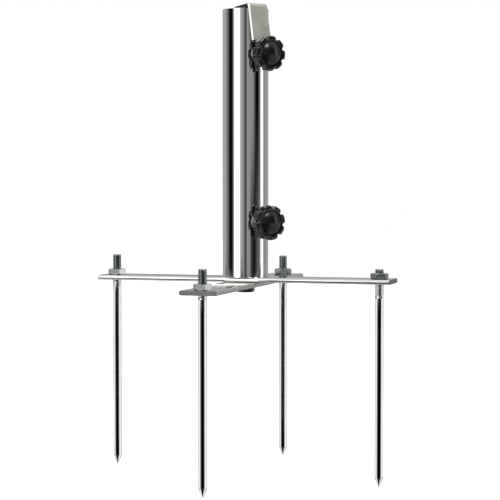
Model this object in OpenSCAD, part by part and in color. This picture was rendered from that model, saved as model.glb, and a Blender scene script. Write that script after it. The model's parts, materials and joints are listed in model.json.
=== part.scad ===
// Four-spike ground anchor with a clamping pole socket.
// Origin: on the socket axis, in the plane of the lower cross bar's underside.
// +X runs along the upper cross bar, +Y along the lower cross bar, +Z up along the socket.

/* [Socket tube] */
// Outer diameter of the socket tube
tube_d = 48.3; // [46:0.1:52]
// Wall thickness of the socket tube
tube_wall = 2; // [1.6:0.1:2.4]
// Length of the socket tube
tube_h = 281; // [270:1:340]
// Thickness of the threaded plug in the tube's foot
plug_h = 12; // [8:1:16]

/* [Cross bars] */
// Length of each flat cross bar
bar_len = 320; // [314:1:380]
// Width of each flat cross bar
bar_w = 40; // [34:1:44]
// Thickness of each flat cross bar
bar_t = 5; // [4:0.5:6]
// Radius of the bars' corners on plan
bar_corner_r = 1.5; // [1:0.5:4]

/* [Ground spikes] */
// Diameter of the circle that the four spikes stand on
spike_circle_d = 290; // [270:1:292]
// Diameter of a spike's smooth shank
spike_d = 9.2; // [8.8:0.1:9.6]
// Length of a spike from its top to its point
spike_len = 227; // [180:1:300]
// Length of the pointed end
point_len = 9.5; // [8:0.5:14]
// Width of the blunt end of the point
point_flat_d = 1.4; // [1:0.1:2.5]
// Length of the threaded top of a spike
spike_thread_len = 28; // [27:1:40]
// Height of a spike's top above its bar
spike_stand = 20.5; // [14:0.5:22]
// Height of the right spike's top above its bar, which is screwed in further
right_spike_stand = 10; // [9:0.5:14]

/* [Threads and nuts] */
// Outer diameter of the M10 threads
m10_d = 9.9; // [9.8:0.05:9.95]
// Width across the flats of the M10 nuts and bolt head
m10_af = 17; // [16:0.5:18]
// Height of an M10 nut
m10_nut_h = 6; // [5.5:0.5:8.5]
// Height of the centre bolt's head
m10_head_h = 6.4; // [6:0.1:7]
// Outer diameter of the M8 clamp screws
m8_d = 8; // [7.9:0.05:8]
// Width across the flats of the M8 weld nuts
m8_af = 13; // [12:0.5:14]
// Height of an M8 weld nut above the tube's surface
m8_nut_h = 6.5; // [5:0.5:7]

/* [Clamp] */
// Direction of the clamp screws, turned from +X about +Z
clamp_bearing = -39; // [-55:1:-35]
// Height of the upper clamp screw above the tube's foot
upper_screw_h = 233; // [225:1:236]
// Height of the lower clamp screw above the tube's foot
lower_screw_h = 58; // [50:1:80]
// Width of the clamp strip
strip_w = 22; // [18:1:24]
// Thickness of the clamp strip
strip_t = 3; // [2.5:0.5:4]
// Sideways play of the clamp strip from the screws' line
strip_shift = -2.9; // [-3:0.1:0]
// Distance from the axis to the strip's face that the screws push on
strip_face = 1; // [0:0.5:2]
// Inner radius of the strip's two bends
strip_bend_r = 0.8; // [0.6:0.1:2]
// Slope of the strip's top flap
flap_slope = 5; // [4:0.5:8]
// Lean of the strip's outer leg away from the tube
leg_lean = 11; // [8:0.5:12]
// Distance from the tube's rim down to the outer leg's lower end
leg_drop = 34; // [28:1:34]

/* [Knobs] */
// Outer diameter over the knob's lobes
knob_d = 36.5; // [34:0.5:40]
// Number of lobes on a knob
knob_lobes = 8; // [6:1:10]
// Thickness of the lobed head
knob_head_t = 9.5; // [7:0.5:11]
// Distance from the tube's axis to the back of the lobed head
knob_back = 38.5; // [38:0.5:42]
// Diameter of the domed cap
cap_d = 24.4; // [20:0.2:26]
// Height of the dome above the head's front face
cap_rise = 3.6; // [2:0.2:6]
// Turn of the upper knob on its screw
upper_knob_turn = 40; // [0:1:45]
// Turn of the lower knob on its screw
lower_knob_turn = 14; // [0:1:45]

/* [Hidden] */
$fn = 96;
eps = 0.02;
// how far a cutting tool runs past the face that it cuts
over = 1;
thread_gap = 0.1;
tube_r = tube_d / 2;
tube_foot_z = 2 * bar_t;
rim_z = tube_foot_z + tube_h;
spike_r = spike_circle_d / 2;
left_spike_lift = 1;
// directions of a corner of each lock nut, as they were tightened
left_nut_turn = 4;
right_nut_turn = 25;
front_nut_turn = 2;
back_nut_turn = 25;
hex_ratio = 2 / sqrt(3);
// share of a hexagon's width that its chamfer leaves flat
hex_flat = 0.95;
// bolt thread that shows above the plug
bolt_end = 3;
bolt_len = 2 * bar_t + plug_h + bolt_end;
plug_gap = 0.05;
screw_hole_gap = 0.2;
// knob hub behind the lobes
hub_d = 15;
hub_len = 4.5;
screw_grip = 6;
// notches between the lobes
notch_r = 2.6;
notch_inset = 0.5;
notch_centre = knob_d / 2 - notch_inset;
cap_seat = 2;
cap_gap = 0.7;
edge_break = 0.8;
// strip bends: the line between their centres is parallel to the flap
bend_out = strip_bend_r + strip_t;
strip_tube_gap = 1.3;
outer_bend_x = tube_r + strip_t + strip_tube_gap - bend_out * cos(leg_lean);
// the flap stands this far clear of the rim, so that the strip can slide out over it
flap_lift = 0.9;
rim_crossing_x = sqrt(pow(tube_r - tube_wall, 2) - pow(strip_w / 2 - strip_shift, 2));
outer_bend_z = rim_z + flap_lift - strip_bend_r / cos(flap_slope)
    + (outer_bend_x - rim_crossing_x) * tan(flap_slope);
inner_bend_x = strip_face + strip_bend_r;
inner_bend_z = outer_bend_z - (outer_bend_x - inner_bend_x) * tan(flap_slope);
// strip below the lower screw
strip_tail = 28;
strip_low_z = tube_foot_z + lower_screw_h - strip_tail;
bend_steps = 16;
leg_len = (outer_bend_z + bend_out * sin(leg_lean) - rim_z + leg_drop) / cos(leg_lean);

module hex(af, h) {
    cylinder(d = af * hex_ratio, h = h, $fn = 6);
}

module chamfered_hex(af, h) {
    intersection() {
        hex(af, h);
        cylinder(d1 = af * hex_flat, d2 = af * hex_flat + 2 * h, h = h);
        translate([0, 0, h]) mirror([0, 0, 1]) cylinder(d1 = af * hex_flat, d2 = af * hex_flat + 2 * h, h = h);
    }
}

module along_clamp(height) {
    rotate([0, 0, clamp_bearing]) translate([0, 0, height]) rotate([0, 90, 0]) children();
}

module socket_tube() {
    color("silver")
    difference() {
        translate([0, 0, tube_foot_z]) cylinder(r = tube_r, h = tube_h);
        translate([0, 0, tube_foot_z - over]) cylinder(r = tube_r - tube_wall, h = tube_h + 2 * over);
        for (h = [upper_screw_h, lower_screw_h])
            along_clamp(tube_foot_z + h) cylinder(d = m8_d + 2 * screw_hole_gap, h = tube_d);
    }
}

module tube_plug() {
    color("gray")
    translate([0, 0, tube_foot_z])
    difference() {
        cylinder(r = tube_r - tube_wall - plug_gap, h = plug_h);
        translate([0, 0, -over]) cylinder(d = m10_d + 2 * thread_gap, h = plug_h + 2 * over);
    }
}

module bar_outline() {
    difference() {
        union() {
            square([bar_len - 2 * bar_corner_r, bar_w], center = true);
            square([bar_len, bar_w - 2 * bar_corner_r], center = true);
            for (x = [-1, 1], y = [-1, 1])
                translate([x * (bar_len / 2 - bar_corner_r), y * (bar_w / 2 - bar_corner_r)])
                    circle(r = bar_corner_r);
        }
        for (x = [-spike_r, 0, spike_r])
            translate([x, 0]) circle(d = m10_d + 2 * thread_gap);
    }
}

module cross_bar_upper() {
    color("lightgray")
    translate([0, 0, bar_t]) linear_extrude(height = bar_t) bar_outline();
}

module cross_bar_lower() {
    color("lightgray")
    rotate([0, 0, 90]) linear_extrude(height = bar_t) bar_outline();
}

module centre_bolt() {
    color("dimgray") {
        translate([0, 0, -m10_head_h]) chamfered_hex(m10_af, m10_head_h);
        cylinder(d = m10_d, h = bolt_len);
    }
}

// A spike with its top at z = 0 and its point downwards
module spike_body() {
    translate([0, 0, -spike_thread_len]) cylinder(d = m10_d, h = spike_thread_len - edge_break);
    translate([0, 0, -edge_break]) cylinder(d1 = m10_d, d2 = m10_d - 2 * edge_break, h = edge_break);
    translate([0, 0, point_len - spike_len]) cylinder(d = spike_d, h = spike_len - point_len - spike_thread_len);
    translate([0, 0, -spike_len]) cylinder(d1 = point_flat_d, d2 = spike_d, h = point_len);
}

module spike(bearing, bar_top, stand) {
    color("silver")
    rotate([0, 0, bearing]) translate([spike_r, 0, bar_top + stand]) spike_body();
}

module spike_left() { spike(180, 2 * bar_t, spike_stand + left_spike_lift); }
module spike_right() { spike(0, 2 * bar_t, right_spike_stand); }
module spike_front() { spike(-90, bar_t, spike_stand); }
module spike_back() { spike(90, bar_t, spike_stand); }

module lock_nut(bearing, bar_top, turn) {
    color("gainsboro")
    rotate([0, 0, bearing]) translate([spike_r, 0, bar_top]) rotate([0, 0, turn - bearing])
    difference() {
        chamfered_hex(m10_af, m10_nut_h);
        translate([0, 0, -over]) cylinder(d = m10_d + 2 * thread_gap, h = m10_nut_h + 2 * over);
    }
}

module lock_nut_left() { lock_nut(180, 2 * bar_t, left_nut_turn); }
module lock_nut_right() { lock_nut(0, 2 * bar_t, right_nut_turn); }
module lock_nut_front() { lock_nut(-90, bar_t, front_nut_turn); }
module lock_nut_back() { lock_nut(90, bar_t, back_nut_turn); }

module weld_nut(height) {
    color("gray")
    difference() {
        along_clamp(height)
            difference() {
                hex(m8_af, tube_r + m8_nut_h);
                translate([0, 0, -over]) cylinder(d = m8_d + 2 * thread_gap, h = tube_r + m8_nut_h + 2 * over);
            }
        translate([0, 0, height - m8_af]) cylinder(r = tube_r + eps, h = 2 * m8_af);
    }
}

module weld_nut_upper() { weld_nut(tube_foot_z + upper_screw_h); }
module weld_nut_lower() { weld_nut(tube_foot_z + lower_screw_h); }

// Points along a bend, seen from the side
function bend(x, z, r, from, to) =
    [for (i = [0 : bend_steps]) let (a = from + (to - from) * i / bend_steps) [x + r * cos(a), z + r * sin(a)]];
function down_leg(point) = point + leg_len * [sin(leg_lean), -cos(leg_lean)];

module strip_profile() {
    outer_skin = concat(
        bend(inner_bend_x, inner_bend_z, bend_out, 180, 90 + flap_slope),
        bend(outer_bend_x, outer_bend_z, bend_out, 90 + flap_slope, leg_lean)
    );
    inner_skin = concat(
        bend(outer_bend_x, outer_bend_z, strip_bend_r, leg_lean, 90 + flap_slope),
        bend(inner_bend_x, inner_bend_z, strip_bend_r, 90 + flap_slope, 180)
    );
    polygon(concat(
        [[strip_face - strip_t, strip_low_z]],
        outer_skin,
        [down_leg(outer_skin[len(outer_skin) - 1]), down_leg(inner_skin[0])],
        inner_skin,
        [[strip_face, strip_low_z]]
    ));
}

module clamp_strip() {
    color("darkgray")
    rotate([0, 0, clamp_bearing]) translate([0, strip_shift + strip_w / 2, 0])
        rotate([90, 0, 0]) linear_extrude(height = strip_w) strip_profile();
}

module clamp_screw(height) {
    color("silver")
    along_clamp(height) translate([0, 0, strip_face + eps])
        cylinder(d = m8_d, h = knob_back + screw_grip - cap_seat - strip_face - 2 * eps);
}

module clamp_screw_upper() { clamp_screw(tube_foot_z + upper_screw_h); }
module clamp_screw_lower() { clamp_screw(tube_foot_z + lower_screw_h); }

module lobed_outline() {
    difference() {
        circle(d = knob_d);
        for (i = [0 : knob_lobes - 1])
            rotate((i + 0.5) * 360 / knob_lobes) translate([notch_centre, 0]) circle(r = notch_r);
    }
}

module knob(height, turn) {
    color("black")
    along_clamp(height) translate([0, 0, knob_back]) rotate([0, 0, turn + 90])
    difference() {
        union() {
            linear_extrude(height = knob_head_t) lobed_outline();
            translate([0, 0, -hub_len]) cylinder(d = hub_d, h = hub_len);
        }
        translate([0, 0, -hub_len - over]) cylinder(d = m8_d + thread_gap, h = hub_len + over + screw_grip - cap_seat);
        translate([0, 0, knob_head_t - cap_seat]) cylinder(d = cap_d + 2 * cap_gap, h = cap_seat + over);
    }
}

module knob_upper() { knob(tube_foot_z + upper_screw_h, upper_knob_turn); }
module knob_lower() { knob(tube_foot_z + lower_screw_h, lower_knob_turn); }

module knob_cap(height) {
    dome_r = (pow(cap_d / 2, 2) + pow(cap_rise, 2)) / (2 * cap_rise);
    color("black")
    along_clamp(height) translate([0, 0, knob_back + knob_head_t]) {
        translate([0, 0, -cap_seat]) cylinder(d = cap_d, h = cap_seat);
        intersection() {
            cylinder(d = cap_d, h = cap_rise);
            translate([0, 0, cap_rise - dome_r]) sphere(r = dome_r);
        }
    }
}

module knob_cap_upper() { knob_cap(tube_foot_z + upper_screw_h); }
module knob_cap_lower() { knob_cap(tube_foot_z + lower_screw_h); }

socket_tube();
tube_plug();
cross_bar_upper();
cross_bar_lower();
centre_bolt();
spike_left();
spike_right();
spike_front();
spike_back();
lock_nut_left();
lock_nut_right();
lock_nut_front();
lock_nut_back();
weld_nut_upper();
weld_nut_lower();
clamp_strip();
clamp_screw_upper();
clamp_screw_lower();
knob_upper();
knob_lower();
knob_cap_upper();
knob_cap_lower();
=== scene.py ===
import json
import math

import bmesh
import bpy
from mathutils import Matrix, Vector


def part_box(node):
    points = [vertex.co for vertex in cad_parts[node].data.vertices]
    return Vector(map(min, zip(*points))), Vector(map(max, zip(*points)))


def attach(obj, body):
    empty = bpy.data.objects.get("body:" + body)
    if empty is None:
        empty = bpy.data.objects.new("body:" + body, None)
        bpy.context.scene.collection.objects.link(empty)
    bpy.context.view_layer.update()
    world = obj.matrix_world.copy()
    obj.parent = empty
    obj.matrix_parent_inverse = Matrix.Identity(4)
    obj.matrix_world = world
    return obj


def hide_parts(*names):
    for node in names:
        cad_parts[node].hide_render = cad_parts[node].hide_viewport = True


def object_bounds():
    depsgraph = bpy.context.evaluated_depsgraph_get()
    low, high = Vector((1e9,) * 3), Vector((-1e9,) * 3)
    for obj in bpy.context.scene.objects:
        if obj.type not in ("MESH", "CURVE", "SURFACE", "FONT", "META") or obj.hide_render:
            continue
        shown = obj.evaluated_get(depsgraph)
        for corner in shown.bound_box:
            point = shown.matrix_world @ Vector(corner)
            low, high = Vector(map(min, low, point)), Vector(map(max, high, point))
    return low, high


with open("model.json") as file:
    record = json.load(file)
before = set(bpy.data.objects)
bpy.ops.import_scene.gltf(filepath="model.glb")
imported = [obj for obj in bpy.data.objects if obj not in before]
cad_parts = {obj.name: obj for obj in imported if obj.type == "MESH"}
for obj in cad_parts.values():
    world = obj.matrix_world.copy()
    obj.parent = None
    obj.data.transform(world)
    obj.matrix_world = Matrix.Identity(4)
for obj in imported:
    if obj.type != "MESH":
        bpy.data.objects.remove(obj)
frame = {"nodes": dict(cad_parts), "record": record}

MM = 0.001
cad_box = [list(corner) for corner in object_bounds()]

# ---------------------------------------------------------------- sizes, in millimetres unless said

TUBE_WALL = 2.0
SCREW_HOLE_R = 4.2
BAR_CORNER_R = 1.5
BAR_SIDE_R = 2.4
SHEARED_R = 0.35
HOLE_R = 5.05
HOLE_WINDOW = 1.6 * HOLE_R

THREAD_DEPTH_IN_PITCHES = 0.6
HEX_FACE_IN_FLATS = 0.475
HEX_CONE = math.radians(30)
BORE_SINK = 0.5
ROD_CHAMFER = 0.8
SCREW_CHAMFER = 0.7
M10_R = 4.95
M10_PITCH = 1.5
M10_FLATS = 17.0
M8_R = 4.0
M8_PITCH = 1.25
M8_FLATS = 13.0
SPIKE_SHANK_R = 4.6
SPIKE_THREAD = 28.0
SPIKE_POINT = 9.5
SPIKE_TIP_R = 0.7
THREAD_RUN_OUT = 1.6
RUN_OUT_END = 0.4
# Rings that turn the shank into the point: how far in from the shank, how far above the shoulder
SHOULDER_RINGS = ((0, 0.6), (0, 0.25), (0.07, -0.25), (0.2, -0.6))
# Rings that blunt the tip: how far out from its radius, how far above its end
TIP_RINGS = ((0.12, 0.25), (-0.15, 0))
# Where each lock nut has a corner, in degrees from +X
NUT_CORNERS = {"left": 4, "right": 25, "front": 2, "back": 25}

STRIP_WIDTH = 22.0
STRIP_THICKNESS = 3.0
STRIP_SHIFT = -2.9
STRIP_FACE = 1.0
STRIP_BEND_R = 0.8
FLAP_SLOPE = math.radians(5.0)
FLAP_LIFT = 0.9
LEG_LEAN = math.radians(11.0)
LEG_DROP = 34.0
STRIP_GAP = 1.3

KNOB_R = 18.25
KNOB_LOBES = 8
KNOB_HEAD = 9.5
KNOB_HUB_R = 7.5
KNOB_HUB = 4.5
KNOB_NOTCH = 3.1
NOTCH_SPREAD = 0.52
KNOB_BORE = 3.0
KNOB_BACK_ROUND = 1.1
KNOB_FRONT_ROUND = 2.0
KNOB_BACK_DRAFT = 0.1
KNOB_BACK_INSET = 3.2
KNOB_BACK_LOBES = 0.35
HUB_CHAMFER = 0.4
# Rings where the hub meets the head: how far out from the hub, how far above the head's back
HUB_FILLET = ((0, -0.7), (0.2, -0.2), (0.8, 0))
# Rings into the groove round the cap: how far out from the groove, how far above the head's face
GROOVE_LIP = ((0.9, 0), (0.3, -0.12), (0, -0.5))
CAP_R = 12.2
CAP_GAP = 0.7
CAP_RISE = 3.6
CAP_SEAT = 2.0
CAP_SEAT_INSET = 1.0
CAP_EDGE = 0.5
CAP_BACK = 0.02
CAP_CHAMFER_IN = 0.2
CAP_CHAMFER_TOP = 0.3
UPPER_TURN = math.radians(40)
LOWER_TURN = math.radians(14)
SCREW_GAP = 0.05
SCREW_IN_KNOB = 3.0
WELD_NUT_REACH = 6.5
WELD_NUT_SPARE = 8.0
COPE_SINK = 0.3
WELD_RING_R = 7.3
WELD_BEAD_R = 1.1
# Ripples round a weld bead: size as a share of its height, count in a turn, shift in radians
WELD_RIPPLES = ((0.16, 22, 0), (0.08, 9, 1))

# Distances that count as touching, and as beside a feature
TOUCHING = 0.01
BESIDE = 1.0

# ---------------------------------------------------------------- places, from the frame


def span(node, axis):
    low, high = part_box(node)
    return low[axis] / MM, high[axis] / MM


def centre(node):
    low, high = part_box(node)
    return (Vector(low) + Vector(high)) / (2 * MM)


TUBE_R = (span("socket_tube", 0)[1] - span("socket_tube", 0)[0]) / 2
FOOT_Z, RIM_Z = span("socket_tube", 2)
UPPER_Z = centre("clamp_screw_upper").z
LOWER_Z = centre("clamp_screw_lower").z
JOINT_AXES = {joint["name"]: Vector(joint["axis"]) for joint in frame["record"]["behaviour"]["joints"]}
SCREW_OUT = JOINT_AXES["clamp_slide"]
SCREW_SIDE = Vector((-SCREW_OUT.y, SCREW_OUT.x, 0))
KNOB_BACK = centre("knob_upper").dot(SCREW_OUT) - KNOB_HEAD / 2


def across_screw(height):
    """Local Z runs out along a clamp screw at this height, local Y sideways."""
    turn = Matrix((Vector((0, 0, -1)), SCREW_SIDE, SCREW_OUT)).transposed().to_4x4()
    return Matrix.Translation((0, 0, height)) @ turn


# ---------------------------------------------------------------- mesh helpers


def boundary_at(bm, z):
    """The open edges that lie in the level plane z."""
    return [e for e in bm.edges if e.is_boundary and all(abs(v.co.z - z) < 1e-3 for v in e.verts)]


def boundary_or_wire(bm):
    return [e for e in bm.edges if e.is_wire or e.is_boundary]


def verts_of(edges):
    return list({v for e in edges for v in e.verts})


def edges_of(verts):
    return list({e for v in verts for e in v.link_edges})


def verts_among(made):
    """The vertices in what an operator made."""
    return [g for g in made if isinstance(g, bmesh.types.BMVert)]


def whole(bm):
    return bm.verts[:] + bm.edges[:] + bm.faces[:]


def cut(bm, spot, normal, **clear):
    """Cuts every face that crosses a plane, and clears the inner or outer side where asked."""
    bmesh.ops.bisect_plane(bm, geom=whole(bm), plane_co=spot, plane_no=normal, **clear)


def circle(bm, radius, z, segments, x=0):
    place = Matrix.Translation((x, 0, z))
    made = bmesh.ops.create_circle(bm, segments=segments, radius=radius, matrix=place)
    return edges_of(made["verts"])


def extend(bm, edges, radius=None, z=None):
    """Pulls a new ring out of open edges, at another radius, height or both. Returns its edges."""
    made = bmesh.ops.extrude_edge_only(bm, edges=edges)["geom"]
    for vert in verts_among(made):
        if radius is not None:
            vert.co.xy = vert.co.xy.normalized() * radius
        if z is not None:
            vert.co.z = z
    return [g for g in made if isinstance(g, bmesh.types.BMEdge)]


def bridge(bm, first, second):
    bmesh.ops.bridge_loops(bm, edges=first + second)


def cap(bm, edges):
    bmesh.ops.contextual_create(bm, geom=edges)


def close_normals(bm):
    bmesh.ops.remove_doubles(bm, verts=bm.verts, dist=1e-4)
    bmesh.ops.recalc_face_normals(bm, faces=bm.faces)


def mirror_up_down(bm):
    bmesh.ops.mirror(bm, geom=whole(bm), matrix=Matrix(), merge_dist=1e-4, axis="Z")
    close_normals(bm)


def piece(name, bm, body, nodes, materials, place=Matrix(), sharp=32):
    """Turns a mesh made in millimetres into a finished piece that rides on its body."""
    bmesh.ops.transform(bm, matrix=Matrix.Scale(MM, 4) @ place, verts=bm.verts)
    mesh = bpy.data.meshes.new(name)
    bm.to_mesh(mesh)
    bm.free()
    for material in materials:
        mesh.materials.append(material)
    mesh.shade_smooth()
    mesh.set_sharp_from_angle(angle=math.radians(sharp))
    made = bpy.data.objects.new(name, mesh)
    bpy.context.collection.objects.link(made)
    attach(made, body)
    if nodes:
        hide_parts(*nodes)
    return made


def round_edges(made, width, segments=3, by_weight=False):
    bevel = made.modifiers.new("rounded edges", "BEVEL")
    bevel.width = width * MM
    bevel.segments = segments
    bevel.limit_method = "WEIGHT" if by_weight else "ANGLE"
    bevel.angle_limit = math.radians(50)
    bevel.use_clamp_overlap = not by_weight
    bevel.harden_normals = True


# ---------------------------------------------------------------- shader helpers


def feed(tree, socket, value):
    """Links a socket to another node's output, or sets its own value."""
    if isinstance(value, bpy.types.NodeSocket):
        tree.links.new(value, socket)
    else:
        socket.default_value = value


def add(tree, kind, settings=None, **inputs):
    """A node with its settings, and with sockets set or linked by name."""
    node = tree.nodes.new(kind)
    for key, value in (settings or {}).items():
        setattr(node, key, value)
    for key, value in inputs.items():
        feed(tree, node.inputs[key.replace("_", " ")], value)
    return node


def calculate(tree, operation, *values):
    """One step of arithmetic on these values in order. Returns its result."""
    node = add(tree, "ShaderNodeMath", {"operation": operation})
    for socket, value in zip(node.inputs, values):
        feed(tree, socket, value)
    return node.outputs[0]


def mix(tree, factor, low, high):
    """Blends two colours or grey values by a mask."""
    node = add(tree, "ShaderNodeMix", {"data_type": "RGBA"})
    for socket, value in zip((node.inputs[0], node.inputs[6], node.inputs[7]), (factor, low, high)):
        feed(tree, socket, value)
    return node.outputs[2]


def group(name, inputs, outputs, fill):
    """A shared surface effect. fill builds it and returns its output sockets in order."""
    tree = bpy.data.node_groups.new(name, "ShaderNodeTree")
    for label, kind, value in inputs:
        socket = tree.interface.new_socket(label, in_out="INPUT", socket_type=kind)
        if value is not None:
            socket.default_value = value
    for label in outputs:
        tree.interface.new_socket(label, in_out="OUTPUT", socket_type="NodeSocketFloat")
    source = tree.nodes.new("NodeGroupInput")
    target = tree.nodes.new("NodeGroupOutput")
    for socket, value in zip(target.inputs, fill(tree, source)):
        tree.links.new(value, socket)
    return tree


def use(tree, shared, **inputs):
    return add(tree, "ShaderNodeGroup", {"node_tree": shared}, **inputs)


def fill_draw_lines(tree, source):
    """Fine lines along one direction, with broader faint bands among them."""
    stretched = add(tree, "ShaderNodeVectorMath", {"operation": "MULTIPLY"})
    tree.links.new(source.outputs["Place"], stretched.inputs[0])
    tree.links.new(source.outputs["Stretch"], stretched.inputs[1])
    fine = add(tree, "ShaderNodeTexNoise", Vector=stretched.outputs[0], Scale=1.0, Detail=4.0, Roughness=0.6)
    broad = add(tree, "ShaderNodeTexNoise", Vector=stretched.outputs[0], Scale=0.17, Detail=2.0)
    both = calculate(tree, "MULTIPLY_ADD", broad.outputs["Fac"], 0.6, fine.outputs["Fac"])
    return both, fine.outputs["Fac"]


def fill_smudges(tree, source):
    """Soft patches left by handling, 0 on clean metal."""
    cloud = add(tree, "ShaderNodeTexNoise", Vector=source.outputs["Place"], Scale=source.outputs["Scale"],
                Detail=5.0, Roughness=0.55, Distortion=0.6)
    patch = add(tree, "ShaderNodeMapRange", {"interpolation_type": "SMOOTHSTEP"}, Value=cloud.outputs["Fac"],
                From_Min=0.45, From_Max=0.75)
    return (patch.outputs["Result"],)


def fill_grain(tree, source):
    """Even fine grain, as cast, moulded or plated surfaces have."""
    coarse = add(tree, "ShaderNodeTexNoise", Vector=source.outputs["Place"], Scale=source.outputs["Scale"],
                 Detail=3.0, Roughness=0.7)
    cells = add(tree, "ShaderNodeTexVoronoi", Vector=source.outputs["Place"], Scale=source.outputs["Scale"])
    height = calculate(tree, "MULTIPLY_ADD", cells.outputs["Distance"], 0.35, coarse.outputs["Fac"])
    return height, coarse.outputs["Fac"]


def fill_dust(tree, source):
    """A thin settling of dust on faces that look up."""
    normal = add(tree, "ShaderNodeNewGeometry")
    parts = add(tree, "ShaderNodeSeparateXYZ", Vector=normal.outputs["Normal"])
    speckle = add(tree, "ShaderNodeTexNoise", Vector=source.outputs["Place"], Scale=900.0, Detail=3.0)
    up = add(tree, "ShaderNodeMapRange", Value=parts.outputs["Z"], From_Min=0.6)
    return (calculate(tree, "MULTIPLY", up.outputs["Result"], speckle.outputs["Fac"]),)


PLACE = ("Place", "NodeSocketVector", None)
draw_lines = group("draw lines", [PLACE, ("Stretch", "NodeSocketVector", (1, 1, 1))],
                   ["Height", "Lines"], fill_draw_lines)
smudges = group("smudges", [PLACE, ("Scale", "NodeSocketFloat", 40.0)], ["Patches"], fill_smudges)
grain = group("grain", [PLACE, ("Scale", "NodeSocketFloat", 1500.0)], ["Height", "Tone"], fill_grain)
dust = group("dust", [PLACE], ["Cover"], fill_dust)


def start_material(name, metallic):
    """An empty surface: its tree, its shader and its object coordinates."""
    material = bpy.data.materials.new(name)
    material.use_nodes = True
    tree = material.node_tree
    shader = tree.nodes["Principled BSDF"]
    shader.inputs["Metallic"].default_value = metallic
    place = add(tree, "ShaderNodeTexCoord").outputs["Object"]
    return material, tree, shader, place


def ranged(tree, value, low, high):
    """Spreads a 0 to 1 mask over another range."""
    return add(tree, "ShaderNodeMapRange", Value=value, To_Min=low, To_Max=high).outputs["Result"]


def bump(tree, shader, height, strength, distance):
    node = add(tree, "ShaderNodeBump", Height=height, Strength=strength, Distance=distance * MM)
    tree.links.new(node.outputs["Normal"], shader.inputs["Normal"])


def drawn_metal(name, colour, tint, rough, stretch, depth):
    """Bright metal with lines along its length and faint handling marks."""
    material, tree, shader, place = start_material(name, 1.0)
    lines = use(tree, draw_lines, Place=place, Stretch=stretch)
    marks = use(tree, smudges, Place=place, Scale=35.0)
    tree.links.new(mix(tree, lines.outputs["Lines"], (*tint, 1), (*colour, 1)), shader.inputs["Base Color"])
    tree.links.new(ranged(tree, marks.outputs["Patches"], *rough), shader.inputs["Roughness"])
    bump(tree, shader, lines.outputs["Height"], 0.25, depth)
    return material


def grained_metal(name, colour, tint, rough, scale, depth, metallic=1.0):
    """Plated or sheared metal with an even grain and a little dust on top."""
    material, tree, shader, place = start_material(name, metallic)
    fine = use(tree, grain, Place=place, Scale=scale)
    marks = use(tree, smudges, Place=place, Scale=60.0)
    cover = use(tree, dust, Place=place)
    plated = mix(tree, fine.outputs["Tone"], (*tint, 1), (*colour, 1))
    dusty = ranged(tree, cover.outputs["Cover"], 0.0, 0.12)
    tree.links.new(mix(tree, dusty, plated, (0.55, 0.54, 0.5, 1)), shader.inputs["Base Color"])
    tree.links.new(ranged(tree, marks.outputs["Patches"], *rough), shader.inputs["Roughness"])
    bump(tree, shader, fine.outputs["Height"], 0.3, depth)
    return material


def moulded_plastic(name, colour, tint, rough, depth, gloss):
    """Satin black plastic with a fine moulded texture."""
    material, tree, shader, place = start_material(name, 0.0)
    fine = use(tree, grain, Place=place, Scale=2600.0)
    marks = use(tree, smudges, Place=place, Scale=120.0)
    cover = use(tree, dust, Place=place)
    shader.inputs["Specular IOR Level"].default_value = gloss
    plastic = mix(tree, fine.outputs["Tone"], (*tint, 1), (*colour, 1))
    dusty = ranged(tree, cover.outputs["Cover"], 0.0, 0.05)
    tree.links.new(mix(tree, dusty, plastic, (0.3, 0.3, 0.28, 1)), shader.inputs["Base Color"])
    tree.links.new(ranged(tree, marks.outputs["Patches"], *rough), shader.inputs["Roughness"])
    bump(tree, shader, fine.outputs["Height"], 0.35, depth)
    return material


tube_chrome = drawn_metal("tube_chrome", (0.93, 0.93, 0.92), (0.86, 0.86, 0.85), (0.03, 0.07),
                          (900, 900, 9), 0.003)
bar_zinc_x = drawn_metal("bar_zinc_along_x", (0.78, 0.78, 0.76), (0.62, 0.62, 0.6), (0.07, 0.12),
                         (30, 2400, 2400), 0.008)
bar_zinc_y = drawn_metal("bar_zinc_along_y", (0.78, 0.78, 0.76), (0.62, 0.62, 0.6), (0.07, 0.12),
                         (2400, 30, 2400), 0.008)
spike_steel = drawn_metal("spike_steel", (0.88, 0.89, 0.9), (0.78, 0.79, 0.8), (0.03, 0.07),
                          (1600, 1600, 30), 0.0015)
sheared_steel = grained_metal("sheared_steel", (0.34, 0.34, 0.32), (0.17, 0.17, 0.16), (0.42, 0.6),
                              900.0, 0.09)
blue_zinc = grained_metal("blue_zinc", (0.52, 0.55, 0.55), (0.34, 0.37, 0.37), (0.2, 0.34), 1800.0, 0.015)
thread_zinc = grained_metal("thread_zinc", (0.46, 0.5, 0.5), (0.26, 0.3, 0.3), (0.12, 0.22), 1800.0, 0.01)
screw_zinc = grained_metal("screw_zinc", (0.66, 0.68, 0.68), (0.48, 0.5, 0.5), (0.2, 0.34), 1800.0, 0.015)
plain_steel = grained_metal("plain_steel", (0.46, 0.46, 0.44), (0.32, 0.31, 0.3), (0.36, 0.52), 1300.0, 0.03)
strip_zinc = grained_metal("strip_zinc", (0.52, 0.52, 0.47), (0.42, 0.42, 0.37), (0.38, 0.5), 1400.0, 0.015)
# Pure white for the outer leg's cut faces: partly the bright sheared steel, partly a painted highlight
leg_cut_painted_highlight = grained_metal("leg_cut_edge_painted_highlight", (1.0, 1.0, 0.98), (0.9, 0.9, 0.88), (0.4, 0.55),
                          1100.0, 0.03, metallic=0.2)
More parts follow.
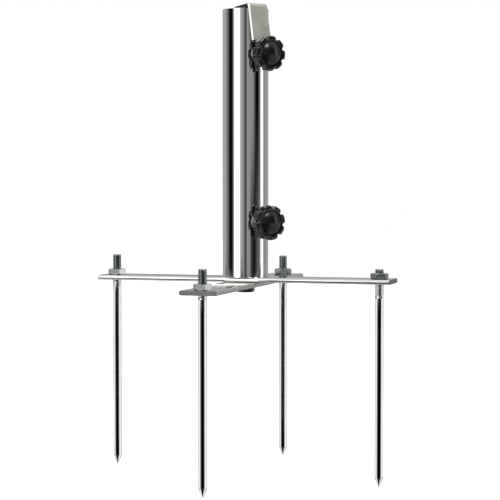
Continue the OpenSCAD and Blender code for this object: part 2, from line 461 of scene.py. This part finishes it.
# Near black for the strip's cut faces over the rim and inside the tube: painted shade on sheared steel, not a
# finish it has
flap_cut_painted_shade = grained_metal("flap_cut_painted_shade", (0.03, 0.03, 0.03), (0.012, 0.012, 0.012), (0.3, 0.45),
                           1300.0, 0.02, metallic=0.3)
black_oxide = grained_metal("black_oxide", (0.04, 0.04, 0.04), (0.02, 0.02, 0.02), (0.3, 0.45),
                            1600.0, 0.02, metallic=0.6)
knob_black = moulded_plastic("knob_black", (0.005, 0.005, 0.0055), (0.003, 0.003, 0.003), (0.12, 0.2),
                             0.008, gloss=0.6)
cap_black = moulded_plastic("cap_black", (0.004, 0.0042, 0.004), (0.002, 0.002, 0.002), (0.2, 0.26),
                            0.005, gloss=0.35)

# ---------------------------------------------------------------- threads and hexagons


def thread(bm, radius, pitch, low, high, steps=28):
    """A rolled thread round local Z, cut square at both ends."""
    root = radius - THREAD_DEPTH_IN_PITCHES * pitch
    outline = [(root, 0), (root, 0.2), (radius, 0.52), (radius, 0.68), (root, 1)]
    points = [bm.verts.new((r, 0, low + (share - 1) * pitch)) for r, share in outline]
    edges = [bm.edges.new(pair) for pair in zip(points, points[1:])]
    turns = math.ceil((high - low) / pitch) + 2
    bmesh.ops.spin(bm, geom=points + edges, cent=(0, 0, 0), axis=(0, 0, 1), dvec=(0, 0, pitch / steps),
                   angle=math.tau * turns, steps=steps * turns, use_duplicate=False)
    bmesh.ops.remove_doubles(bm, verts=bm.verts, dist=TOUCHING)
    cut(bm, (0, 0, low), (0, 0, 1), clear_inner=True)
    cut(bm, (0, 0, high), (0, 0, 1), clear_outer=True)


def break_thread_end(bm, radius, z, depth):
    """Narrows the thread towards its end at z, as a chamfered rod."""
    for vert in bm.verts:
        most = radius - depth + abs(z - vert.co.z)
        if abs(z - vert.co.z) < depth and vert.co.xy.length > most:
            vert.co.xy = vert.co.xy.normalized() * most


def hexagon(bm, flats, height, bore):
    """A hexagon with coned corners, centred on z = 0, with a countersunk bore or closed ends."""
    per_side = 8
    around = 6 * per_side
    flat_r = HEX_FACE_IN_FLATS * flats
    top = height / 2
    outline = circle(bm, flats / math.sqrt(3), top, 6)
    bmesh.ops.subdivide_edges(bm, edges=outline, cuts=per_side - 1)
    outline = boundary_or_wire(bm)
    for vert in verts_of(outline):
        vert.co.z -= max(0.0, vert.co.xy.length - flat_r) * math.tan(HEX_CONE)
    washer = circle(bm, flat_r, top, around)
    bridge(bm, outline, washer)
    if bore:
        sunk = extend(bm, washer, radius=bore + BORE_SINK)
        wall = extend(bm, sunk, radius=bore, z=top - BORE_SINK)
        extend(bm, wall, z=0)
    else:
        cap(bm, washer)
    sides = [e for e in bm.edges if e.is_boundary and min(v.co.xy.length for v in e.verts) > flat_r]
    extend(bm, sides, z=0)
    mirror_up_down(bm)


# ---------------------------------------------------------------- socket tube


def window_loop(bm, middle_z, half_angle, half_height):
    """Takes out the wall round one screw hole and returns the window's edges. The hole is on local +X."""
    inside = []
    for face in bm.faces:
        spot = face.calc_center_median()
        if abs(math.atan2(spot.y, spot.x)) < half_angle and abs(spot.z - middle_z) < half_height:
            inside.append(face)
    bmesh.ops.delete(bm, geom=inside, context="FACES")
    reach = half_height + BESIDE
    return [e for e in bm.edges if e.is_boundary and all(abs(v.co.z - middle_z) < reach for v in e.verts)]


def build_tube():
    around = 160
    side_steps = 5
    rows = 6
    half_angle = side_steps * math.tau / around
    half_height = TUBE_R * half_angle
    bm = bmesh.new()
    extend(bm, circle(bm, TUBE_R, FOOT_Z, around), z=RIM_Z)
    for screw_z in (LOWER_Z, UPPER_Z):
        for row in range(rows + 1):
            level = screw_z + half_height * (2 * row / rows - 1)
            cut(bm, (0, 0, level), (0, 0, 1))
        window = window_loop(bm, screw_z, half_angle, half_height)
        hole = circle(bm, SCREW_HOLE_R, 0, len(window))
        for vert in verts_of(hole):
            sideways, up = vert.co.x, vert.co.y
            vert.co = (math.sqrt(TUBE_R ** 2 - sideways ** 2), sideways, screw_z + up)
        bridge(bm, window, hole)
    close_normals(bm)
    turn = Matrix.Rotation(math.atan2(SCREW_OUT.y, SCREW_OUT.x), 4, "Z")
    made = piece("socket_tube_drawn", bm, "root", ["socket_tube"], [tube_chrome], turn)
    wall = made.modifiers.new("wall", "SOLIDIFY")
    wall.thickness = TUBE_WALL * MM
    wall.offset = -1
    round_edges(made, 0.3)


# ---------------------------------------------------------------- cross bars


def pierced_plate(length, width, hole_places):
    """A flat plate in the plane z = 0 with round holes along X."""
    bm = bmesh.new()
    bmesh.ops.create_grid(bm, x_segments=1, y_segments=1, size=0.5,
                          matrix=Matrix.Diagonal((length, width, 1, 1)))
    sides = (-HOLE_WINDOW, HOLE_WINDOW)
    cuts = [((x + side, 0, 0), (1, 0, 0)) for x in hole_places for side in sides]
    cuts += [((0, side, 0), (0, 1, 0)) for side in sides]
    for spot, normal in cuts:
        cut(bm, spot, normal)
    reach = HOLE_WINDOW + BESIDE
    for x in hole_places:
        windows = [f for f in bm.faces if (f.calc_center_median() - Vector((x, 0, 0))).length < BESIDE]
        rim = [e for f in windows for e in f.edges]
        bmesh.ops.delete(bm, geom=windows, context="FACES")
        bmesh.ops.subdivide_edges(bm, edges=rim, cuts=7)
        rim = [e for e in bm.edges if e.is_boundary
               and all(max(abs(v.co.x - x), abs(v.co.y)) < reach for v in e.verts)]
        bridge(bm, rim, circle(bm, HOLE_R, 0, len(rim), x))
    return bm


def build_bar(node, body, spikes, zinc, along_y):
    """A rolled bar: wide rounds along its sides, small ones at its holes and its dull sheared ends."""
    low, high = span(node, 2)
    axis = 1 if along_y else 0
    length = span(node, axis)[1] - span(node, axis)[0]
    width = span(node, 1 - axis)[1] - span(node, 1 - axis)[0]
    bm = pierced_plate(length, width, [0] + [centre(spike)[axis] for spike in spikes])
    raised = bmesh.ops.extrude_face_region(bm, geom=bm.faces[:])["geom"]
    bmesh.ops.translate(bm, vec=(0, 0, high - low), verts=verts_among(raised))
    close_normals(bm)
    weight = bm.edges.layers.float.new("bevel_weight_edge")
    for edge in bm.edges:
        if edge.calc_face_angle(0) > math.radians(60):
            level = abs(edge.verts[0].co.z - edge.verts[1].co.z) < TOUCHING
            long_side = all(abs(abs(v.co.y) - width / 2) < TOUCHING for v in edge.verts)
            if not level:
                edge[weight] = BAR_CORNER_R / BAR_SIDE_R
            elif long_side:
                edge[weight] = 1.0
            else:
                edge[weight] = SHEARED_R / BAR_SIDE_R
    for face in bm.faces:
        if abs(face.normal.x) > 0.5 and abs(face.calc_center_median().x) > length / 2 - 0.5:
            face.material_index = 1
    place = Matrix.Translation((0, 0, low)) @ Matrix.Rotation(math.pi / 2 if along_y else 0, 4, "Z")
    made = piece(node + "_rolled", bm, body, [node], [zinc, sheared_steel], place)
    round_edges(made, BAR_SIDE_R, 5, by_weight=True)


# ---------------------------------------------------------------- spikes, nuts and the centre bolt


def build_spike(node, body):
    """One turned piece: chamfered thread, run-out, smooth shank and a conical point, zinc above the bar."""
    low, high = span(node, 2)
    middle = centre(node)
    bm = bmesh.new()
    thread_low = high - SPIKE_THREAD
    thread(bm, M10_R, M10_PITCH, thread_low, high)
    break_thread_end(bm, M10_R, high, ROD_CHAMFER)
    cap(bm, boundary_at(bm, high))
    thread_end = boundary_at(bm, thread_low)
    ring = circle(bm, SPIKE_SHANK_R, thread_low - THREAD_RUN_OUT, segments=48)
    bridge(bm, thread_end, ring)
    ring = extend(bm, ring, z=thread_low - THREAD_RUN_OUT - RUN_OUT_END)
    for inward, above in SHOULDER_RINGS:
        ring = extend(bm, ring, radius=SPIKE_SHANK_R - inward, z=low + SPIKE_POINT + above)
    for outward, above in TIP_RINGS:
        ring = extend(bm, ring, radius=SPIKE_TIP_R + outward, z=low + above)
    cap(bm, ring)
    close_normals(bm)
    place = Matrix.Translation((middle.x, middle.y, 0))
    bar_low = span("cross_bar_upper" if body == "root" else "cross_bar_lower", 2)[0]
    for face in bm.faces:
        if face.calc_center_median().z > bar_low:
            face.material_index = 1
    piece(node + "_turned", bm, body, [node], [spike_steel, thread_zinc], place, sharp=40)


def build_nut(node, body, corner):
    """A nut with one corner at this angle from +X."""
    low, high = span(node, 2)
    middle = centre(node)
    bm = bmesh.new()
    hexagon(bm, M10_FLATS, high - low, HOLE_R)
    place = Matrix.Translation(middle) @ Matrix.Rotation(corner - math.pi / 2, 4, "Z")
    piece(node + "_pressed", bm, body, [node], [blue_zinc], place, sharp=20)


def build_centre_bolt():
    """The head under the lower bar, and the threaded stem up from it, as two closed shells in one piece."""
    low, high = span("centre_bolt", 2)
    underside = span("cross_bar_lower", 2)[0]
    bm = bmesh.new()
    hexagon(bm, M10_FLATS, underside - low, 0)
    bmesh.ops.translate(bm, vec=(0, 0, (underside + low) / 2), verts=bm.verts)
    rod = bmesh.new()
    thread(rod, M10_R, M10_PITCH, underside, high)
    break_thread_end(rod, M10_R, high, ROD_CHAMFER)
    cap(rod, boundary_at(rod, high))
    cap(rod, boundary_at(rod, underside))
    close_normals(rod)
    stud = bpy.data.meshes.new("stud")
    rod.to_mesh(stud)
    rod.free()
    bm.from_mesh(stud)
    bpy.data.meshes.remove(stud)
    piece("centre_bolt_black", bm, "root", ["centre_bolt"], [black_oxide], sharp=20)


# ---------------------------------------------------------------- clamp


def tube_surface(sideways):
    """How far out from the tube's axis its skin lies, this far to the side of a screw."""
    return math.sqrt(max(0.0, TUBE_R ** 2 - sideways ** 2))


def build_weld_nut(node, height):
    """A hexagon coped to the tube, with the weld that holds it."""
    bm = bmesh.new()
    top = TUBE_R + WELD_NUT_REACH
    tall = 2 * WELD_NUT_REACH + WELD_NUT_SPARE
    hexagon(bm, M8_FLATS, tall, M8_R + 0.1)
    bmesh.ops.translate(bm, vec=(0, 0, top - tall / 2), verts=bm.verts)
    for vert in bm.verts:
        if vert.co.z < TUBE_R + WELD_NUT_REACH / 2 - BESIDE:
            vert.co.z = tube_surface(vert.co.y) - COPE_SINK
    bmesh.ops.remove_doubles(bm, verts=bm.verts, dist=TOUCHING)
    upright = Matrix.Translation((WELD_RING_R, 0, 0)) @ Matrix.Rotation(math.pi / 2, 4, "X")
    bead = bmesh.ops.create_circle(bm, segments=10, radius=WELD_BEAD_R, matrix=upright)["verts"]
    bmesh.ops.spin(bm, geom=bead + edges_of(bead), cent=(0, 0, 0), axis=(0, 0, 1), angle=math.tau, steps=96,
                   use_merge=True, use_duplicate=False)
    for vert in (v for v in bm.verts if v.co.z < 2 * WELD_BEAD_R):
        angle = math.atan2(vert.co.y, vert.co.x)
        swell = 1 + sum(size * math.sin(count * angle + shift) for size, count, shift in WELD_RIPPLES)
        vert.co.z = tube_surface(vert.co.y) + vert.co.z * swell
    bmesh.ops.recalc_face_normals(bm, faces=bm.faces)
    piece(node + "_welded", bm, "root", [node], [plain_steel], across_screw(height))


def build_clamp_screw(node, body, height):
    low = STRIP_FACE + SCREW_GAP
    high = KNOB_BACK + SCREW_IN_KNOB
    bm = bmesh.new()
    thread(bm, M8_R, M8_PITCH, low, high)
    break_thread_end(bm, M8_R, low, SCREW_CHAMFER)
    cap(bm, boundary_at(bm, low))
    cap(bm, boundary_at(bm, high))
    close_normals(bm)
    piece(node + "_threaded", bm, body, [node], [screw_zinc], across_screw(height), sharp=40)


def build_clamp_strip():
    """One line, bent over the rim, drawn sideways into a strip and given its thickness."""
    low = span("clamp_strip", 2)[0]
    bend_out = STRIP_BEND_R + STRIP_THICKNESS
    outer_x = TUBE_R + STRIP_THICKNESS + STRIP_GAP - bend_out * math.cos(LEG_LEAN)
    rim_crossing = math.sqrt((TUBE_R - TUBE_WALL) ** 2 - (STRIP_WIDTH / 2 - STRIP_SHIFT) ** 2)
    outer_z = RIM_Z + FLAP_LIFT - STRIP_BEND_R / math.cos(FLAP_SLOPE)
    outer_z += (outer_x - rim_crossing) * math.tan(FLAP_SLOPE)
    inner_x = STRIP_FACE + STRIP_BEND_R
    inner_z = outer_z - (outer_x - inner_x) * math.tan(FLAP_SLOPE)
    leg = (outer_z + bend_out * math.sin(LEG_LEAN) - RIM_Z + LEG_DROP) / math.cos(LEG_LEAN)
    bm = bmesh.new()
    start = bm.verts.new((STRIP_FACE - STRIP_THICKNESS, 0, low))

    def go_on(vert, step):
        made = bmesh.ops.extrude_vert_indiv(bm, verts=[vert])["verts"][0]
        bmesh.ops.translate(bm, vec=step, verts=[made])
        return made

    def bend(vert, x, z, angle):
        made = bmesh.ops.spin(bm, geom=[vert], cent=(x, 0, z), axis=(0, 1, 0), dvec=(0, 0, 0), angle=angle,
                              steps=10, use_duplicate=False)
        return verts_among(made["geom_last"])[0]

    corner = go_on(start, (0, 0, inner_z - low))
    flap_start = bend(corner, inner_x, inner_z, math.pi / 2 - FLAP_SLOPE)
    flap = (outer_x - inner_x) / math.cos(FLAP_SLOPE)
    flap_end = go_on(flap_start, (flap * math.cos(FLAP_SLOPE), 0, flap * math.sin(FLAP_SLOPE)))
    leg_start = bend(flap_end, outer_x, outer_z, math.pi / 2 + FLAP_SLOPE - LEG_LEAN)
    go_on(leg_start, (leg * math.sin(LEG_LEAN), 0, -leg * math.cos(LEG_LEAN)))
    bmesh.ops.translate(bm, vec=(0, STRIP_SHIFT - STRIP_WIDTH / 2, 0), verts=bm.verts)
    drawn = bmesh.ops.extrude_edge_only(bm, edges=bm.edges[:])["geom"]
    bmesh.ops.translate(bm, vec=(0, STRIP_WIDTH, 0), verts=verts_among(drawn))
    bmesh.ops.recalc_face_normals(bm, faces=bm.faces)
    if sum(f.normal.x * f.calc_area() for f in bm.faces if f.calc_center_median().x < 0) > 0:
        bmesh.ops.reverse_faces(bm, faces=bm.faces)
    bmesh.ops.solidify(bm, geom=bm.faces[:], thickness=STRIP_THICKNESS)
    # One sheared edge, two colours: cut faces beyond the tube's skin get white as a painted highlight, those
    # over the rim and inside the tube get near black as painted shade
    for face in bm.faces:
        if abs(face.normal.y) > 0.7:
            face.material_index = 1 if face.calc_center_median().x > TUBE_R else 2
    turn = Matrix.Rotation(math.atan2(SCREW_OUT.y, SCREW_OUT.x), 4, "Z")
    made = piece("clamp_strip_bent", bm, "strip", ["clamp_strip"],
                 [strip_zinc, leg_cut_painted_highlight, flap_cut_painted_shade], turn)
    round_edges(made, 0.25)


# ---------------------------------------------------------------- knobs


def notch(angle):
    """How deep the nearest notch between two lobes is at this angle, from 0 to 1."""
    pitch = math.tau / KNOB_LOBES
    off = abs((angle / pitch) % 1 - 0.5) * 2
    share = min(1.0, off / NOTCH_SPREAD)
    return 0.5 + 0.5 * math.cos(math.pi * share)


def turned_rings(bm, rows, around=192):
    """Rings up local Z, each (radius, z, share of the notches). Returns the last ring's edges."""
    ring = None
    for radius, z, lobed in rows:
        ring = extend(bm, ring) if ring else circle(bm, radius, z, around)
        for vert in verts_of(ring):
            angle = math.atan2(vert.co.y, vert.co.x)
            vert.co.xy = vert.co.xy.normalized() * (radius - lobed * KNOB_NOTCH * notch(angle))
            vert.co.z = z
    return ring


def rounded_corner(radius, z, size, from_angle, lobed, steps=5):
    """Rings that round an edge of this size; its centre is size inside the corner."""
    rows = []
    for step in range(steps + 1):
        angle = from_angle + math.pi / 2 * step / steps
        rows.append((radius - size + size * math.cos(angle), z + size * math.sin(angle), lobed))
    return rows


def build_knob(node, body, height, turn):
    """Turned from the bore out round the lobes and in to the cap's seat. Local z = 0 is the head's back."""
    bore = M8_R + 0.05
    groove = CAP_R + CAP_GAP
    seat = KNOB_HEAD - CAP_SEAT
    rows = [(bore, KNOB_BORE - KNOB_HUB, 0), (bore, HUB_CHAMFER - KNOB_HUB, 0),
            (bore + HUB_CHAMFER, -KNOB_HUB, 0), (KNOB_HUB_R - HUB_CHAMFER, -KNOB_HUB, 0),
            (KNOB_HUB_R, HUB_CHAMFER - KNOB_HUB, 0)]
    rows += [(KNOB_HUB_R + outward, above, 0) for outward, above in HUB_FILLET]
    rows += [(KNOB_R - KNOB_BACK_INSET, 0, KNOB_BACK_LOBES)]
    rows += rounded_corner(KNOB_R - KNOB_BACK_DRAFT, KNOB_BACK_ROUND, KNOB_BACK_ROUND, -math.pi / 2, 1.0)
    rows += rounded_corner(KNOB_R, KNOB_HEAD - KNOB_FRONT_ROUND, KNOB_FRONT_ROUND, 0, 1.0)
    rows += [(groove + outward, KNOB_HEAD + above, 0) for outward, above in GROOVE_LIP]
    rows += [(groove, seat, 0), (CAP_R - CAP_SEAT_INSET, seat, 0)]
    bm = bmesh.new()
    cap(bm, turned_rings(bm, rows))
    cap(bm, boundary_at(bm, KNOB_BORE - KNOB_HUB))
    close_normals(bm)
    place = across_screw(height) @ Matrix.Translation((0, 0, KNOB_BACK)) @ Matrix.Rotation(turn, 4, "Z")
    piece(node + "_moulded", bm, body, [node], [knob_black], place, sharp=38)


def build_knob_cap(node, body, height):
    """A domed cap, flush with the head at its edge."""
    dome_r = (CAP_R ** 2 + CAP_RISE ** 2) / (2 * CAP_RISE)
    rows = [(CAP_R - CAP_CHAMFER_IN, CAP_BACK, 0), (CAP_R, CAP_CHAMFER_TOP, 0),
            (CAP_R, CAP_SEAT - CAP_EDGE, 0)]
    steps = 14
    start = math.asin((CAP_R - CAP_EDGE) / dome_r)
    for step in range(steps):
        angle = start * (1 - step / steps)
        rows.append((dome_r * math.sin(angle), CAP_SEAT + CAP_RISE - dome_r * (1 - math.cos(angle)), 0))
    bm = bmesh.new()
    cap(bm, turned_rings(bm, rows, 96))
    cap(bm, boundary_at(bm, CAP_BACK))
    close_normals(bm)
    place = across_screw(height) @ Matrix.Translation((0, 0, KNOB_BACK + KNOB_HEAD - CAP_SEAT))
    piece(node + "_domed", bm, body, [node], [cap_black], place, sharp=50)


# ---------------------------------------------------------------- the object

build_tube()
build_bar("cross_bar_upper", "root", ["spike_left", "spike_right"], bar_zinc_x, False)
build_bar("cross_bar_lower", "lower_cross", ["spike_front", "spike_back"], bar_zinc_y, True)
for side, corner in NUT_CORNERS.items():
    bar_body = "root" if side in ("left", "right") else "lower_cross"
    build_spike("spike_" + side, bar_body)
    build_nut("lock_nut_" + side, bar_body, math.radians(corner))
build_centre_bolt()
build_clamp_strip()
for level, height, turn in (("upper", UPPER_Z, UPPER_TURN), ("lower", LOWER_Z, LOWER_TURN)):
    screw_body = level + "_screw"
    build_weld_nut("weld_nut_" + level, height)
    build_clamp_screw("clamp_screw_" + level, screw_body, height)
    build_knob("knob_" + level, screw_body, height, turn + math.pi / 2)
    build_knob_cap("knob_cap_" + level, screw_body, height)
plug = frame["nodes"]["tube_plug"]
plug.data.materials.clear()
plug.data.materials.append(plain_steel)

# ---------------------------------------------------------------- camera, floor and light

VIEW_BEARING = math.radians(17)
VIEW_DISTANCE = 2.007
VIEW_HEIGHT = 0.129
AIM_RIGHT = 0.0047
AIM_HEIGHT = 0.038
LENS = 136.8
SENSOR_WIDTH = 36
FLOOR_HALF = 6
FLOOR_GAP = 0.0005


def build_camera():
    right = Vector((math.cos(VIEW_BEARING), math.sin(VIEW_BEARING), 0))
    towards = Vector((math.sin(VIEW_BEARING), -math.cos(VIEW_BEARING), 0))
    camera = bpy.data.objects.new("camera", bpy.data.cameras.new("camera"))
    camera.data.lens = LENS
    camera.data.sensor_width = SENSOR_WIDTH
    camera.location = towards * VIEW_DISTANCE + Vector((0, 0, VIEW_HEIGHT))
    aim = right * AIM_RIGHT + Vector((0, 0, AIM_HEIGHT))
    camera.rotation_euler = (aim - camera.location).to_track_quat("-Z", "Y").to_euler()
    bpy.context.collection.objects.link(camera)
    bpy.context.scene.camera = camera


def build_floor():
    bm = bmesh.new()
    bmesh.ops.create_grid(bm, x_segments=1, y_segments=1, size=FLOOR_HALF)
    bmesh.ops.translate(bm, vec=(0, 0, cad_box[0][2] - FLOOR_GAP), verts=bm.verts)
    mesh = bpy.data.meshes.new("floor")
    bm.to_mesh(mesh)
    bm.free()
    material = bpy.data.materials.new("pale_floor")
    material.use_nodes = True
    shader = material.node_tree.nodes["Principled BSDF"]
    shader.inputs["Base Color"].default_value = (0.9, 0.9, 0.9, 1)
    shader.inputs["Roughness"].default_value = 0.9
    shader.inputs["Emission Color"].default_value = (1, 1, 1, 1)
    shader.inputs["Emission Strength"].default_value = 0.45
    mesh.materials.append(material)
    floor = bpy.data.objects.new("floor", mesh)
    floor.visible_glossy = False
    bpy.context.collection.objects.link(floor)


# Studio walls seen from the object: degrees to the right of the camera, then brightness up high,
# near the ground and below the bars
WALLS = [
    (-180, 0.36, 0.36, 0.2), (-130, 0.42, 0.42, 0.5), (-119, 0.36, 0.36, 1.0), (-101, 0.16, 0.16, 1.0),
    (-91, 0.05, 0.05, 1.0), (-85, 0.0, 0.0, 1.0), (-71, 0.005, 0.005, 1.0), (-64, 0.16, 0.16, 0.8),
    (-58, 1.0, 1.0, 0.35), (-53, 2.2, 2.2, 0.12), (-34, 2.2, 2.2, 0.03), (-29, 0.72, 0.72, 0.02),
    (-22, 0.40, 0.40, 0.0), (-7, 0.23, 0.23, 0.0), (-1, 0.015, 0.015, 0.0), (3, 0.07, 0.07, 0.0),
    (8, 0.29, 0.29, 0.0), (22, 0.29, 0.27, 0.0), (26, 0.28, 0.08, 0.005), (38, 0.27, 0.01, 0.02),
    (46, 0.09, 0.005, 0.3), (54, 0.0, 0.03, 1.0), (66, 0.005, 0.12, 1.0), (76, 0.12, 0.14, 1.0),
    (83, 0.8, 0.8, 1.0), (88, 2.0, 2.0, 1.0), (94, 2.0, 2.0, 1.0), (100, 0.5, 0.5, 1.0),
    (107, 0.26, 0.26, 1.0), (139, 0.36, 0.36, 0.45), (160, 0.42, 0.42, 0.25),
]
# Degrees above the horizon over which one part of the studio turns into the next
UNDER_TO_LOW = (-3.8, -3.4)
LOW_TO_HIGH = (-2.5, 2.0)
WALL_TO_CEILING = (22, 48)
GROUND_TO_WALL = (-16, -12)
STEEP_TO_OPEN_GROUND = (-45, -35)


def wall_ramp(tree, bearing, column):
    ramp = add(tree, "ShaderNodeValToRGB", Fac=bearing)
    while len(ramp.color_ramp.elements) < len(WALLS):
        ramp.color_ramp.elements.new(0.5)
    for element, wall in zip(ramp.color_ramp.elements, WALLS):
        element.position = (wall[0] + 180) / 360
        element.color = (wall[column], wall[column], wall[column], 1)
    return ramp.outputs["Color"]


def by_height(tree, height, between, below, above):
    low, high = (math.sin(math.radians(angle)) for angle in between)
    share = add(tree, "ShaderNodeMapRange", {"interpolation_type": "SMOOTHSTEP"}, Value=height,
                From_Min=low, From_Max=high)
    return mix(tree, share.outputs["Result"], below, above)


def build_studio():
    """Soft light: panels and dark gaps all round, a bright ceiling, and plain white for the camera to see."""
    world = bpy.data.worlds.new("studio")
    world.use_nodes = True
    tree = world.node_tree
    tree.nodes.clear()
    direction = add(tree, "ShaderNodeTexCoord").outputs["Generated"]
    turned = add(tree, "ShaderNodeMapping", Vector=direction, Rotation=(0, 0, math.pi / 2 - VIEW_BEARING))
    parts = add(tree, "ShaderNodeSeparateXYZ", Vector=turned.outputs["Vector"])
    angle = calculate(tree, "ARCTAN2", parts.outputs["Y"], parts.outputs["X"])
    bearing = add(tree, "ShaderNodeMapRange", Value=angle, From_Min=-math.pi, From_Max=math.pi)
    high_walls, low_walls, under_walls = (wall_ramp(tree, bearing.outputs["Result"], column)
                                          for column in (1, 2, 3))
    height = parts.outputs["Z"]
    near_ground = by_height(tree, height, UNDER_TO_LOW, under_walls, low_walls)
    walls = by_height(tree, height, LOW_TO_HIGH, near_ground, high_walls)
    with_ceiling = by_height(tree, height, WALL_TO_CEILING, walls, (1.0, 1.0, 1.0, 1))
    open_ground = mix(tree, 0.35, under_walls, (0.2, 0.2, 0.2, 1))
    ground = by_height(tree, height, STEEP_TO_OPEN_GROUND, under_walls, open_ground)
    around = by_height(tree, height, GROUND_TO_WALL, ground, with_ceiling)
    light = add(tree, "ShaderNodeBackground", Color=around, Strength=1.0)
    plain = add(tree, "ShaderNodeBackground", Color=(1, 1, 1, 1), Strength=1.0)
    seen = add(tree, "ShaderNodeLightPath")
    both = add(tree, "ShaderNodeMixShader", Fac=seen.outputs["Is Camera Ray"])
    tree.links.new(light.outputs[0], both.inputs[1])
    tree.links.new(plain.outputs[0], both.inputs[2])
    out = add(tree, "ShaderNodeOutputWorld")
    tree.links.new(both.outputs[0], out.inputs["Surface"])
    bpy.context.scene.world = world
    bpy.context.scene.view_settings.view_transform = "Standard"


def soft_light(name, bearing, height, distance, size, energy, glossy):
    """A soft box that looks at the object's origin, this many degrees to the right of the camera."""
    lamp = bpy.data.lights.new(name, "AREA")
    lamp.shape = "RECTANGLE"
    lamp.size = size
    lamp.size_y = size * 1.3
    lamp.energy = energy
    box = bpy.data.objects.new(name, lamp)
    turn = VIEW_BEARING - math.pi / 2 + math.radians(bearing)
    box.location = Vector((math.cos(turn), math.sin(turn), 0)) * distance + Vector((0, 0, height))
    box.rotation_euler = (-box.location).to_track_quat("-Z", "Y").to_euler()
    box.visible_glossy = glossy
    bpy.context.collection.objects.link(box)


build_camera()
build_floor()
build_studio()
soft_light("key", bearing=-48, height=1.3, distance=2.2, size=1.2, energy=22, glossy=False)
soft_light("top", bearing=34, height=2.1, distance=1.8, size=0.8, energy=34, glossy=True)
